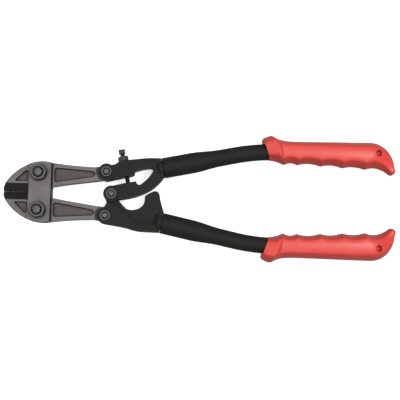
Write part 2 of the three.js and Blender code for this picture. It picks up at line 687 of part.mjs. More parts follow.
// The grip's skin: rings joined by quads, a flat front and a dome at the tip.
function gripSkin() {
  const body = GRIP_STATIONS.map(gripStation);
  const rings = [...body, ...tipStations(body[body.length - 1])].map(gripRing);
  const centreOf = (ring) => ring.reduce((sum, p) => sum.add(p), new THREE.Vector3()).divideScalar(ring.length);
  const vertices = [centreOf(rings[0]), ...rings.flat(), centreOf(rings[rings.length - 1])];
  const around = SECTION.length;
  const at = (ring, k) => 1 + ring * around + (k % around);
  const index = [];
  for (let k = 0; k < around; k += 1) {
    index.push(0, at(0, k), at(0, k + 1));
    for (let ring = 0; ring + 1 < rings.length; ring += 1) {
      index.push(at(ring, k), at(ring + 1, k), at(ring, k + 1));
      index.push(at(ring, k + 1), at(ring + 1, k), at(ring + 1, k + 1));
    }
    index.push(vertices.length - 1, at(rings.length - 1, k + 1), at(rings.length - 1, k));
  }
  const geometry = new THREE.BufferGeometry().setFromPoints(vertices);
  geometry.setIndex(index);
  return geometry;
}

const HANG_DIMPLE = { a: 101.5, b: -1.1, radius: 2.6, bottom: 7 };

function grip() {
  const bendEnd = TUBE.bendStart + TUBE.bendLength;
  const end = handleAxis(bendEnd);
  const back = (end.x - GRIP.front) / Math.cos(end.heading);
  const place = new THREE.Matrix4().makeRotationZ(end.heading).setPosition(
    end.x - back * Math.cos(end.heading), end.y - back * Math.sin(end.heading), MIDDLE,
  );
  const skin = solidOf(gripSkin().applyMatrix4(place));
  const bore = alongHandle([
    [0, TUBE.bendStart],
    ...bendStations(TUBE.bendStart, bendEnd, 5).map((s) => [GRIP.bore, s]),
    [GRIP.bore, GRIP.boreDepth],
    [0, GRIP.boreDepth],
  ]);
  const { a, b, radius, bottom } = HANG_DIMPLE;
  const dimples = [[bottom, 2 * bottom], [-2 * bottom, -bottom]].map(([low, high]) => {
    const geometry = turnedGeometry([[0, low], [radius, low], [radius, high], [0, high]]);
    geometry.translate(a, b, 0);
    return solidOf(geometry.applyMatrix4(place));
  });
  return cut(skin, [bore, ...dimples]);
}

addPair('grip', grip(), redVinyl);

// ---------------------------------------------------------------- origin

const boltCutters = new THREE.Group();
boltCutters.add(tool);
const box = new THREE.Box3().setFromObject(tool);
tool.position.set(-(box.min.x + box.max.x) / 2, -(box.min.y + box.max.y) / 2, -box.min.z);

export default boltCutters;
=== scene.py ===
"""Looks for the bolt cutters: fine meshes, materials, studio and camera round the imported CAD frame."""
import math

import bmesh
import bpy
import numpy as np
from mathutils import Matrix, Vector


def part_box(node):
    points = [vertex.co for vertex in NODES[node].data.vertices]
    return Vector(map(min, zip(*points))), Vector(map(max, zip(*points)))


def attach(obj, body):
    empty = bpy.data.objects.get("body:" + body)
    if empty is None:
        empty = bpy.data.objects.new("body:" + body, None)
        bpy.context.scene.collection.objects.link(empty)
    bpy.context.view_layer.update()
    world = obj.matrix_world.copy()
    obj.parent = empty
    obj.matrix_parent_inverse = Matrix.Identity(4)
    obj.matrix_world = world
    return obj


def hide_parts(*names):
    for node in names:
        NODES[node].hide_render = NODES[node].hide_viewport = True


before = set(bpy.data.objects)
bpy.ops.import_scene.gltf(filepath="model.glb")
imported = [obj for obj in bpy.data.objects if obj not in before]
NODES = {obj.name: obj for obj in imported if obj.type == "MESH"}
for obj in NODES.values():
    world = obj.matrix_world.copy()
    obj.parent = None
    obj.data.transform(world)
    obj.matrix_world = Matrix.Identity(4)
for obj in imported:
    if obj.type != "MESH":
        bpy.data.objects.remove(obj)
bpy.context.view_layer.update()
MM = 0.001
WELD = 1e-7                               # points nearer than this are one point, in metres

# ------------------------------------------------------------------ places taken from the frame


def centre_of(node):
    low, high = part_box(node)
    return (low + high) / 2


PIVOT = centre_of("handle_pivot_pin")     # on the middle plane of the tool
MIDDLE = PIVOT.z / MM                     # height of that plane, in millimetres
SIDES = {"upper": 1, "lower": -1}


def upright_at(node):
    """Moves a body drawn round the Z axis over the centre of a CAD node."""
    centre = centre_of(node)
    return Matrix.Translation((centre.x, centre.y, 0))


# ------------------------------------------------------------------ mesh helpers

def new_piece(node, mesh, body, material, smooth):
    """Shows a mesh as a piece that rides on a body and stands for a CAD node."""
    mesh.name = f"{node}_fine"
    mesh.shade_smooth()
    mesh.set_sharp_from_angle(angle=math.radians(smooth))
    mesh.materials.append(material)
    piece = bpy.data.objects.new(mesh.name, mesh)
    bpy.context.scene.collection.objects.link(piece)
    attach(piece, body)
    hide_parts(node)
    return piece


def stand_in(node, vertices, faces, body, material, smooth=40):
    """A fine mesh from points in metres, in the place of a CAD node."""
    mesh = bpy.data.meshes.new(node)
    mesh.from_pydata([tuple(v) for v in vertices], [], faces)
    mesh.update()
    weld = bmesh.new()
    weld.from_mesh(mesh)
    bmesh.ops.remove_doubles(weld, verts=weld.verts, dist=WELD)
    bmesh.ops.recalc_face_normals(weld, faces=weld.faces)
    weld.to_mesh(mesh)
    weld.free()
    new_piece(node, mesh, body, material, smooth)


def column_faces(columns, rows):
    """Quads between neighbouring columns of points, the last column joined to the first."""
    faces = []
    for k in range(columns):
        for i in range(rows - 1):
            a, b = k * rows + i, ((k + 1) % columns) * rows + i
            faces.append([a, b, b + 1, a + 1])
    return faces


def ring_faces(rings, around, first=0):
    """Quads between rings of points that follow each other from a first point."""
    faces = []
    for ring in range(rings - 1):
        for k in range(around):
            a, b = first + ring * around + k, first + ring * around + (k + 1) % around
            faces.append([a, b, b + around, a + around])
    return faces


def fan_faces(ring, around, centre):
    """Triangles from a ring of points to a centre."""
    return [[ring + k, ring + (k + 1) % around, centre] for k in range(around)]


def turned(profile, segments, bump=None):
    """Points and faces of a turned body about Z from [radius, height] pairs in millimetres."""
    vertices, faces = [], []
    count = len(profile)
    for k in range(segments):
        turn = 2 * math.pi * k / segments
        for radius, height in profile:
            r = radius + (bump(radius, height, turn) if bump else 0)
            vertices.append(Vector((r * math.cos(turn), r * math.sin(turn), height)) * MM)
    for k in range(segments):
        for i in range(count - 1):
            a, b = k * count + i, ((k + 1) % segments) * count + i
            corners = [a, b, b + 1, a + 1]
            if profile[i][0] == 0:
                corners = [a, b + 1, a + 1]
            elif profile[i + 1][0] == 0:
                corners = [a, b, a + 1]
            faces.append(corners)
    return vertices, faces


def placed(points, matrix):
    return [matrix @ p for p in points]


def rounded(profile, radius, steps=3, share=0.45):
    """A profile with its inner corners rounded, up to a share of the sides that meet there."""
    out = [profile[0]]
    for before, corner, after in zip(profile, profile[1:], profile[2:]):
        b, c, a = Vector(before), Vector(corner), Vector(after)
        reach = min(radius, share * (b - c).length, share * (a - c).length)
        start, end = c + (b - c).normalized() * reach, c + (a - c).normalized() * reach
        for k in range(steps + 1):
            t = k / steps
            out.append(tuple(start * (1 - t) ** 2 + c * 2 * t * (1 - t) + end * t ** 2))
    out.append(profile[-1])
    return out


def smoothstep(x, low, high):
    t = min(max((x - low) / (high - low), 0), 1)
    return t * t * (3 - 2 * t)


# ------------------------------------------------------------------ materials

MIX_FACTOR, MIX_A, MIX_B, MIX_RESULT = 0, 6, 7, 2     # sockets of the Mix node when it mixes colours


class Graph:
    """A node material with short helpers. Coordinates are the object's own, in metres."""

    def __init__(self, name):
        self.material = bpy.data.materials.new(name)
        self.material.use_nodes = True
        self.tree = self.material.node_tree
        self.tree.nodes.clear()
        output = self.tree.nodes.new("ShaderNodeOutputMaterial")
        self.shader = self.tree.nodes.new("ShaderNodeBsdfPrincipled")
        self.link(self.shader.outputs[0], output.inputs[0])
        coordinates = self.tree.nodes.new("ShaderNodeTexCoord")
        self.place, self.facing = coordinates.outputs["Object"], coordinates.outputs["Normal"]

    def link(self, source, target):
        self.tree.links.new(source, target)

    def value(self, **sockets):
        """Sets sockets of the shader that are the same all over the surface."""
        for name, number in sockets.items():
            self.shader.inputs[name.replace("_", " ")].default_value = number

    def noise(self, per_metre, detail=3, rough=0.55, stretch=(1, 1, 1)):
        """Noise from 0 to 1, with a scale for each metre of the piece."""
        mapping = self.tree.nodes.new("ShaderNodeMapping")
        mapping.inputs["Scale"].default_value = stretch
        self.link(self.place, mapping.inputs["Vector"])
        node = self.tree.nodes.new("ShaderNodeTexNoise")
        node.inputs["Scale"].default_value = per_metre
        node.inputs["Detail"].default_value = detail
        node.inputs["Roughness"].default_value = rough
        self.link(mapping.outputs[0], node.inputs["Vector"])
        return node.outputs["Fac"]

    def ramp(self, source, *stops):
        """A colour or a shade of grey that runs through stops of position and tone."""
        node = self.tree.nodes.new("ShaderNodeValToRGB")
        elements = node.color_ramp.elements
        while len(elements) < len(stops):
            elements.new(0.5)
        for element, (position, colour) in zip(elements, stops):
            element.position = position
            if isinstance(colour, (int, float)):
                colour = (colour, colour, colour)
            element.color = (*colour, 1)
        self.link(source, node.inputs["Fac"])
        return node.outputs["Color"]

    def mix(self, factor, first, second, blend="MIX"):
        node = self.tree.nodes.new("ShaderNodeMix")
        node.data_type = "RGBA"
        node.blend_type = blend
        for socket, source in ((MIX_FACTOR, factor), (MIX_A, first), (MIX_B, second)):
            if isinstance(source, (int, float)):
                node.inputs[socket].default_value = source
            elif isinstance(source, tuple):
                node.inputs[socket].default_value = (*source, 1)
            else:
                self.link(source, node.inputs[socket])
        return node.outputs[MIX_RESULT]

    def math(self, operation, first, second=0.0):
        node = self.tree.nodes.new("ShaderNodeMath")
        node.operation = operation
        for socket, source in ((0, first), (1, second)):
            if isinstance(source, (int, float)):
                node.inputs[socket].default_value = source
            else:
                self.link(source, node.inputs[socket])
        return node.outputs[0]

    def edges(self, radius_mm, samples=6):
        """0 on a flat face, towards 1 on an outer edge that wear reaches first."""
        bevel = self.tree.nodes.new("ShaderNodeBevel")
        bevel.samples = samples
        bevel.inputs["Radius"].default_value = radius_mm * MM
        geometry = self.tree.nodes.new("ShaderNodeNewGeometry")
        dot = self.tree.nodes.new("ShaderNodeVectorMath")
        dot.operation = "DOT_PRODUCT"
        self.link(bevel.outputs[0], dot.inputs[0])
        self.link(geometry.outputs["Normal"], dot.inputs[1])
        return self.math("SUBTRACT", 1.0, dot.outputs["Value"])

    def corner_shade(self, reach_mm, own=False, samples=8):
        """Painted shade: 1 on an open face, towards 0 deep in a corner or recess, where less light reaches.
        """
        node = self.tree.nodes.new("ShaderNodeAmbientOcclusion")
        node.samples = samples
        node.only_local = own
        node.inputs["Distance"].default_value = reach_mm * MM
        return node.outputs["AO"]

    def wall_shade(self, dark, upright=0.45, flat=0.88):
        """Painted shade: 1 on a face that lies flat, down to the given share on its upright walls, as if
        they got less light.
        """
        node = self.tree.nodes.new("ShaderNodeSeparateXYZ")
        self.link(self.facing, node.inputs[0])
        return self.ramp(self.math("ABSOLUTE", node.outputs["Z"]), (upright, dark), (flat, 1.0))

    def along(self, axis):
        """One coordinate of the piece, in metres."""
        node = self.tree.nodes.new("ShaderNodeSeparateXYZ")
        self.link(self.place, node.inputs[0])
        return node.outputs[axis]

    def away_from(self, axis, level):
        """Distance along an axis from a level, both ways, in metres."""
        return self.math("ABSOLUTE", self.math("SUBTRACT", self.along(axis), level))

    def within(self, distance, reach, end):
        """1 where a distance is less than a reach, in front of an end along X, and 0 elsewhere."""
        near = self.math("LESS_THAN", distance, reach)
        return self.math("MULTIPLY", near, self.math("LESS_THAN", self.along("X"), end))

    def darkened(self, base, shade):
        """A colour multiplied by a shade: 0 is black and 1 leaves it as it is."""
        return self.mix(1.0, base, shade, "MULTIPLY")

    def bump(self, height, distance_mm, strength=1.0, below=None):
        node = self.tree.nodes.new("ShaderNodeBump")
        node.inputs["Strength"].default_value = strength
        node.inputs["Distance"].default_value = distance_mm * MM
        self.link(height, node.inputs["Height"])
        if below:
            self.link(below, node.inputs["Normal"])
        self.link(node.outputs[0], self.shader.inputs["Normal"])
        return node.outputs[0]

    def colour(self, source):
        self.link(source, self.shader.inputs["Base Color"])

    def roughness(self, source, low, high):
        spread = self.tree.nodes.new("ShaderNodeMapRange")
        spread.inputs["To Min"].default_value = low
        spread.inputs["To Max"].default_value = high
        self.link(source, spread.inputs["Value"])
        self.link(spread.outputs[0], self.shader.inputs["Roughness"])


# Places on the jaws in millimetres from the handle pivot.
BLADE_HALF, BLADE_END = 7.45, -66.0       # half width of the ground bevels, and where they end
POCKET_FLOOR, POCKET_END = 3.1, -14.0     # height of the pocket floors off the middle plane, and their end
STRAP_SHADOW_LINE, STRAP_SHADOW_REACH = -53.6, 2.0          # where a painted shadow lies along the rear edge of the straps, and how far it reaches


def jaw_details(g, base):
    """Browner pocket floors, a painted shadow along the rear edge of the straps and black, ground blades.
    """
    floor_brown = g.darkened(base, (0.54, 0.475, 0.47))
    sunk = g.within(g.away_from("Z", PIVOT.z), POCKET_FLOOR * MM, PIVOT.x + POCKET_END * MM)
    base = g.mix(sunk, base, floor_brown)
    # Painted shadow on the jaw beside the straps' rear edge, darkest right next to it.
    beside = g.away_from("X", PIVOT.x + STRAP_SHADOW_LINE * MM)
    share = g.math("MULTIPLY", beside, 1 / (STRAP_SHADOW_REACH * MM))
    base = g.darkened(base, g.ramp(share, (0.30, 0.05), (0.66, 1.0)))
    grinding_lines = g.noise(900, 3, 0.5, (0.12, 1, 1))
    black = g.ramp(grinding_lines, (0.3, (0.003, 0.003, 0.003)), (0.7, (0.010, 0.008, 0.008)))
    blade = g.within(g.away_from("Y", PIVOT.y), BLADE_HALF * MM, PIVOT.x + BLADE_END * MM)
    return g.mix(blade, base, black)


def forged_steel(with_jaw_details=False):
    """Warm grey phosphated steel: fine grain, faint blotches, painted shade in corners and on upright
    walls, and lighter worn edges.
    """
    g = Graph("forged_steel")
    blotch = g.noise(90, 4, 0.6)
    grain = g.noise(2600, 3, 0.6)
    base = g.ramp(blotch, (0.3, (0.083, 0.077, 0.074)), (0.55, (0.099, 0.093, 0.090)),
                  (0.75, (0.113, 0.107, 0.104)))
    base = g.darkened(base, g.ramp(grain, (0.35, 0.80), (0.65, 1.12)))
    # Painted shade in corners and recesses.
    base = g.darkened(base, g.ramp(g.corner_shade(2.4), (0.52, 0.03), (0.93, 1.0)))
    worn = g.ramp(g.edges(0.35), (0.06, 0.0), (0.3, 0.35))
    base = g.mix(worn, base, (0.16, 0.150, 0.145))
    # Painted shade on upright walls.
    base = g.darkened(base, g.wall_shade(0.14, 0.66, 0.93))
    if with_jaw_details:
        base = jaw_details(g, base)
    g.colour(base)
    g.value(Metallic=0.35, Specular_IOR_Level=0.4)
    g.roughness(grain, 0.46, 0.64)
    fine = g.bump(grain, 0.05, 0.5)
    g.bump(blotch, 0.25, 0.35, fine)
    return g.material


def plated_steel():
    """Dull plated fasteners with a soft sheen and small tool marks."""
    g = Graph("plated_steel")
    marks = g.noise(420, 4, 0.6)
    grain = g.noise(3200, 2, 0.5)
    base = g.ramp(marks, (0.3, (0.046, 0.044, 0.042)), (0.7, (0.075, 0.072, 0.070)))
    # Painted shade in corners and recesses, and on upright walls.
    base = g.darkened(base, g.ramp(g.corner_shade(1.8), (0.42, 0.04), (0.92, 1.0)))
    g.colour(g.darkened(base, g.wall_shade(0.55)))
    g.value(Metallic=0.6, Specular_IOR_Level=0.5)
    g.roughness(marks, 0.34, 0.52)
    fine = g.bump(grain, 0.03, 0.4)
    g.bump(marks, 0.08, 0.3, fine)
    return g.material


def blackened_steel():
    """Oiled black oxide on the set screw and its locknut."""
    g = Graph("blackened_steel")
    marks = g.noise(600, 3, 0.6)
    g.colour(g.ramp(marks, (0.3, (0.007, 0.006, 0.006)), (0.72, (0.024, 0.022, 0.021))))
    g.value(Metallic=0.55, Specular_IOR_Level=0.5)
    g.roughness(marks, 0.28, 0.45)
    g.bump(marks, 0.06, 0.4)
    return g.material


def black_paint(name, tone):
    """Satin powder coat: a fine orange peel over black, a little greyer where it is rubbed."""
    g = Graph(name)
    peel = g.noise(1500, 2, 0.5)
    rub = g.noise(60, 4, 0.6)
    dark, light = (tuple(share * c for c in tone) for share in (0.86, 1.14))
    base = g.ramp(rub, (0.3, dark), (0.7, light))
    # Painted shade in corners and on upright walls.
    base = g.darkened(base, g.ramp(g.corner_shade(0.9, own=True), (0.4, 0.45), (0.9, 1.0)))
    g.colour(g.darkened(base, g.wall_shade(0.8)))
    g.value(Specular_IOR_Level=0.10)
    g.roughness(rub, 0.5, 0.64)
    g.bump(peel, 0.05, 0.5)
    return g.material


def red_vinyl():
    """Dipped vinyl: saturated red, semi-gloss, with a fine leathery skin and faint clouding."""
    g = Graph("red_vinyl")
    cloud = g.noise(45, 3, 0.5)
    skin = g.noise(1300, 3, 0.55)
    base = g.ramp(cloud, (0.25, (0.478, 0.036, 0.028)), (0.55, (0.500, 0.041, 0.032)),
                  (0.8, (0.518, 0.046, 0.036)))
    # Painted shade in creases and on the sloping sides of the grip.
    base = g.darkened(base, g.ramp(g.corner_shade(2.5), (0.3, 0.35), (0.9, 1.0)))
    g.colour(g.darkened(base, g.wall_shade(0.60, 0.35, 0.96)))
    g.value(Specular_IOR_Level=0.22)
    g.roughness(skin, 0.24, 0.33)
    g.bump(skin, 0.05, 0.4)
    return g.material


STEEL = forged_steel()
JAW_STEEL = forged_steel(with_jaw_details=True)
PLATED = plated_steel()
BLACKENED = blackened_steel()
LEVER_PAINT = black_paint("black_lever_paint", (0.0100, 0.0100, 0.0093))
TUBE_PAINT = black_paint("black_tube_paint", (0.0095, 0.0095, 0.0090))
VINYL = red_vinyl()

# ------------------------------------------------------------------ forged pieces with rounded edges

FLAT_WITHIN = math.radians(0.6)           # facets that differ by less are one flat face


def rounded_copy(node, body, material, edge_mm, angle=33):
    """A copy of a CAD node with its edges rounded, in the place of the node."""
    mesh = NODES[node].data.copy()
    mesh.materials.clear()
    piece = new_piece(node, mesh, body, material, angle)
    flat = piece.modifiers.new("flat faces", "DECIMATE")
    flat.decimate_type = "DISSOLVE"
    flat.angle_limit = FLAT_WITHIN
    bevel = piece.modifiers.new("rounded edges", "BEVEL")
    bevel.width = edge_mm * MM
    bevel.segments = 3
    bevel.limit_method = "ANGLE"
    bevel.angle_limit = math.radians(angle)
    bevel.use_clamp_overlap = True
    normals = piece.modifiers.new("even shading", "WEIGHTED_NORMAL")
    normals.keep_sharp = False
    normals.weight = 80


for side in SIDES:
    rounded_copy(f"{side}_jaw", f"{side}_jaw", JAW_STEEL, 0.45)
    rounded_copy(f"{side}_lever", f"{side}_handle", LEVER_PAINT, 0.8)
for node in ("front_strap", "rear_strap"):
    rounded_copy(node, "head", STEEL, 0.5)

# ------------------------------------------------------------------ jaw bolts and nuts

BOLT_FLATS, BOLT_RADIUS, BOLT_HEAD = 13.0, 3.9, 3.5
BOLT_PITCH, BOLT_THREAD, THREAD_ROWS = 1.25, 0.35, 10    # rows are for each millimetre of thread
NUT_TURN, BOLT_HEAD_TURN = 42.0, 12.0                    # where one flat faces, in degrees from X
NUT_MOUTH = 1.0                                          # depth and width of a nut's countersink
TURNED_FACE, CORNER_DROP = 0.95, 0.55                    # share of the flats, and slope of the chamfer


def hex_body(flats, low, high, turn, bore=0.0, chamfer=(True, True), columns=96):
    """A hexagon with its corners turned off, drawn as a polar grid so that the chamfers curve."""
    corner = flats / math.sqrt(3)
    face = TURNED_FACE * flats / 2
    drop = (corner - face) * CORNER_DROP
    sink = NUT_MOUTH if bore else 0.0
    rows = [("in", low), ("face", low), ("side", low), ("side", high), ("face", high), ("mouth", high),
            ("in", high - sink)]
    if bore:
        rows.append(("in", low))
    vertices = []
    for k in range(columns):
        angle = 2 * math.pi * k / columns
        from_flat = (math.degrees(angle) - turn + 30) % 60 - 30
        wall = flats / 2 / math.cos(math.radians(from_flat))
        rise = max(0.0, (wall - face) / (corner - face)) * drop
        for kind, z in rows:
            top = z == high
            if kind == "in":
                radius = bore
            elif kind == "mouth":
                radius = bore + sink
            elif kind == "face":
                radius = face if chamfer[top] else wall
            else:
                radius = wall
                if chamfer[top]:
                    z += -rise if top else rise
            vertices.append(Vector((radius * math.cos(angle), radius * math.sin(angle), z)) * MM)
    return vertices, column_faces(columns, len(rows))


def thread(pitch, depth, start, end):
    """How far a helical thread stands from the core at a height and a turn."""
    def rise(radius, height, turn):
        if radius == 0 or not start <= height <= end:
            return 0.0
        phase = (height / pitch - turn / (2 * math.pi)) % 1
        fade = min((height - start) / pitch, (end - height) / pitch, 1)
        return -depth * (abs(2 * phase - 1)) * fade
    return rise


def joined(*parts):
    """Several lists of points and faces as one."""
    vertices, faces = [], []
    for points, polygons in parts:
        base = len(vertices)
        vertices += points
        faces += [[base + i for i in polygon] for polygon in polygons]
    return vertices, faces


def bolt_mesh(nut_top, top):
    """A jaw bolt: a head at the back and a threaded shaft that ends in a low dome above the nut."""
    start, thread_start = BOLT_HEAD - 0.3, nut_top - 1
    shaft = [(0, start), (BOLT_RADIUS, start), (BOLT_RADIUS, thread_start)]
    thread_rows = range(1, int((top - nut_top) * THREAD_ROWS))
    shaft += [(BOLT_RADIUS, thread_start + k / THREAD_ROWS) for k in thread_rows]
    dome = rounded([(BOLT_RADIUS, top - 0.9), (2.9, top - 0.25), (0, top)], 0.5)
    rim = thread(BOLT_PITCH, BOLT_THREAD, nut_top - 1.2, top - 0.5)
    head = hex_body(BOLT_FLATS, 0, BOLT_HEAD, BOLT_HEAD_TURN, chamfer=(True, False))
    return joined(turned(shaft + dome, segments=96, bump=rim), head)


for side in SIDES:
    nut_low, nut_high = (corner.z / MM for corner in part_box(f"{side}_jaw_nut"))
    bolt_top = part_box(f"{side}_jaw_bolt")[1].z / MM
    at = upright_at(f"{side}_jaw_nut")
    points, faces = hex_body(BOLT_FLATS, nut_low, nut_high, NUT_TURN, bore=BOLT_RADIUS + 0.12)
    stand_in(f"{side}_jaw_nut", placed(points, at), faces, "head", PLATED, smooth=28)
    points, faces = bolt_mesh(nut_high, bolt_top)
    stand_in(f"{side}_jaw_bolt", placed(points, at), faces, "head", PLATED, smooth=28)

# ------------------------------------------------------------------ link pins and washers

PIN_BODIES = {"upper_link": "upper_handle", "lower_link": "lower_handle", "handle_pivot": "upper_handle"}
LEVER_HALF, GAP, WASHER = 7.0, 0.3, 1.0        # half thickness of a lever, clearance, washer thickness
PIN_RADIUS, PIN_NECK, PIN_HEAD, PIN_CROWN = 3.5, 2.0, 2.55, 0.8
WASHER_RADIUS, WASHER_HOLE, WASHER_DISH = 4.7, 2.3, 0.45


def pin_profile():
    """A riveted pin: shank, necks through the washers and low domed heads, alike on both ends."""
    shoulder, seat = LEVER_HALF - 0.1, LEVER_HALF + WASHER + 2 * GAP
    half = [(PIN_RADIUS, 0), (PIN_RADIUS, shoulder), (PIN_NECK, shoulder), (PIN_NECK, seat)]
    half += rounded([(PIN_NECK, seat), (PIN_HEAD, seat), (PIN_HEAD, seat + 0.3), (1.7, seat + 0.68),
                     (0, seat + PIN_CROWN)], 0.25)
    return [(r, MIDDLE - z) for r, z in reversed(half)] + [(r, MIDDLE + z) for r, z in half[1:]]


def washer_profile(outward):
    """A washer with a countersunk hole, in front of the lever or, with outward at -1, behind it."""
    low, high = LEVER_HALF + GAP, LEVER_HALF + GAP + WASHER
    ring = rounded([(WASHER_HOLE, low), (WASHER_RADIUS, low), (WASHER_RADIUS, high - 0.25),
                    (WASHER_RADIUS - 0.3, high), (3.6, high), (2.7, low + WASHER_DISH),
                    (WASHER_HOLE, low + WASHER_DISH)], 0.12)
    return [(r, MIDDLE + outward * z) for r, z in ring + [(WASHER_HOLE, low)]]


for place, body in PIN_BODIES.items():
    at = upright_at(f"{place}_pin")
    points, faces = turned(pin_profile(), segments=64)
    stand_in(f"{place}_pin", placed(points, at), faces, body, PLATED, smooth=35)
    for way, outward in (("front", 1), ("rear", -1)):
        points, faces = turned(washer_profile(outward), segments=64)
        stand_in(f"{place}_{way}_washer", placed(points, at), faces, body, PLATED, smooth=35)

# ------------------------------------------------------------------ adjusting screw and locknut

LEAN = math.radians(12.7)                      # of the screw, from upright towards the head
SCREW_TIP = Vector((14.5, 10.8, 0)) * MM + PIVOT
SCREW_AXIS = (Matrix.Translation(SCREW_TIP) @ Matrix.Rotation(LEAN, 4, "Z")
              @ Matrix.Rotation(-math.pi / 2, 4, "X"))
SCREW_RADIUS, UNDER_HEAD, HEAD_HEIGHT, HEAD_SIZE = 2.1, 27.0, 4.0, 5.9
SCREW_PITCH, SCREW_THREAD, SCREW_ROW = 0.8, 0.3, 0.08
LOCKNUT_FROM, LOCKNUT_HEIGHT, LOCKNUT_FLATS = 20.3, 4.4, 8.0
SQUARENESS = 9                                 # 2 is a round head, and a large number is a sharp square


def screw_shank():
    """The threaded shank, from a chamfered tip to just inside the head."""
    start, end = 0.7, UNDER_HEAD + 0.3
    steps = int((UNDER_HEAD - 0.9) / SCREW_ROW)
    shank = [(0, 0), (1.5, 0), (SCREW_RADIUS, start)]
    shank += [(SCREW_RADIUS, start + (end - start) * k / steps) for k in range(1, steps + 1)]
    shank += [(0, end)]
    rim = thread(SCREW_PITCH, SCREW_THREAD, 0.5, UNDER_HEAD - 0.2)
    return turned(shank, segments=32, bump=rim)


def square_head(size, low, high, edge=0.5, steps=4, around=48):
    """A square head with softly rounded corners and edges."""
    quarter = [math.pi / 2 * k / steps for k in range(steps + 1)]
    rings = [(0, low)]
    rings += [(size / 2 - edge + edge * math.sin(a), low + edge - edge * math.cos(a)) for a in quarter]
    rings += [(size / 2 - edge + edge * math.cos(a), high - edge + edge * math.sin(a)) for a in quarter]
    rings += [(0, high)]
    vertices = []
    for half, z in rings:
        for k in range(around):
            turn = 2 * math.pi * k / around
            c, s = math.cos(turn), math.sin(turn)
            reach = half / (abs(c) ** SQUARENESS + abs(s) ** SQUARENESS) ** (1 / SQUARENESS)
            vertices.append(Vector((reach * c, reach * s, z)) * MM)
    return vertices, ring_faces(len(rings), around)


points, faces = joined(screw_shank(), square_head(HEAD_SIZE, UNDER_HEAD, UNDER_HEAD + HEAD_HEIGHT))
stand_in("adjusting_screw", placed(points, SCREW_AXIS), faces, "adjusting_screw", BLACKENED, smooth=50)
points, faces = hex_body(LOCKNUT_FLATS, LOCKNUT_FROM, LOCKNUT_FROM + LOCKNUT_HEIGHT, 90,
                         bore=SCREW_RADIUS + 0.15)
stand_in("adjusting_locknut", placed(points, SCREW_AXIS), faces, "adjusting_locknut", BLACKENED, smooth=28)

# ------------------------------------------------------------------ tubes

# Distances run along a handle's centre line from the end face of its lever, in millimetres.
TUBE_START, TUBE_SLOPE, TUBE_REAR = (46.0, 25.1), math.radians(12), math.radians(1)
TUBE_LENGTH, BEND_START, BEND_LENGTH = 181.0, 67.5, 34.8
BEND_RADIUS = BEND_LENGTH / (TUBE_SLOPE - TUBE_REAR)
TUBE_WIDE, TUBE_NARROW, TUBE_REAR_RADIUS = 9.4, 7.65, 7.45
TAPER_START, TAPER_END, TUBE_WALL, SOCKET = 27.0, 54.0, 2.0, 6.8
LIP_RADIUS, LIP_REACH = 0.7, 1.5               # rounding of the front edge, and how far back it may reach


def handle_axis(distance):
    """Point and heading of a handle's centre line at a distance from the lever's end face."""
    straight = min(distance, BEND_START)
    bent = min(max(distance - BEND_START, 0), BEND_LENGTH)
    rest = max(distance - BEND_START - BEND_LENGTH, 0)
    heading = TUBE_SLOPE - bent / BEND_RADIUS
    x = TUBE_START[0] + straight * math.cos(TUBE_SLOPE)
    x += BEND_RADIUS * (math.sin(TUBE_SLOPE) - math.sin(heading)) + rest * math.cos(heading)
    y = TUBE_START[1] + straight * math.sin(TUBE_SLOPE)
    y += BEND_RADIUS * (math.cos(heading) - math.cos(TUBE_SLOPE)) + rest * math.sin(heading)
    return x, y, heading


def tube_radius(distance):
    """Outer radius: wide over the spigot, swaged down behind it, a little thinner after the bend."""
    swaged = TUBE_WIDE + (TUBE_NARROW - TUBE_WIDE) * smoothstep(distance, TAPER_START, TAPER_END)
    rear = smoothstep(distance, TAPER_END, BEND_START + BEND_LENGTH)
    return swaged - (TUBE_NARROW - TUBE_REAR_RADIUS) * rear


def in_frame(x, y, z, sign):
    """A point of the tool's drawing, in millimetres from the handle pivot, as a place in the frame."""
    return Vector((PIVOT.x + x * MM, PIVOT.y + sign * y * MM, PIVOT.z + z * MM))


def beside_axis(distance, across, out, sign, forward=0.0):
    """A point beside a handle's centre line as a place in the frame."""
    x, y, heading = handle_axis(distance)
    return in_frame(x - across * math.sin(heading) + forward, y + across * math.cos(heading), out, sign)


def tube_mesh(sign, around=64):
    """A tube with a rounded front lip, and a wide socket inside for the lever's spigot."""
    stations = list(np.linspace(GAP + 0.8, TUBE_LENGTH, 120))
    outside = [(tube_radius(s), s) for s in stations]
    inside = [(min(SOCKET, tube_radius(s) - TUBE_WALL), s) for s in stations if s > TAPER_START]
    lip = rounded([(SOCKET, GAP), (TUBE_WIDE, GAP), (TUBE_WIDE, GAP + LIP_REACH)], LIP_RADIUS, 4)
    profile = [(SOCKET, GAP)] + lip[1:-1] + outside[1:] + inside[::-1]
    profile += [(SOCKET, TAPER_START), (SOCKET, GAP)]
    vertices = []
    for k in range(around):
        turn = 2 * math.pi * k / around
        for radius, distance in profile:
            vertices.append(beside_axis(distance, radius * math.cos(turn), radius * math.sin(turn), sign))
    return vertices, column_faces(around, len(profile))


for side, sign in SIDES.items():
    points, faces = tube_mesh(sign)
    stand_in(f"{side}_tube", points, faces, f"{side}_handle", TUBE_PAINT)

# ------------------------------------------------------------------ grips

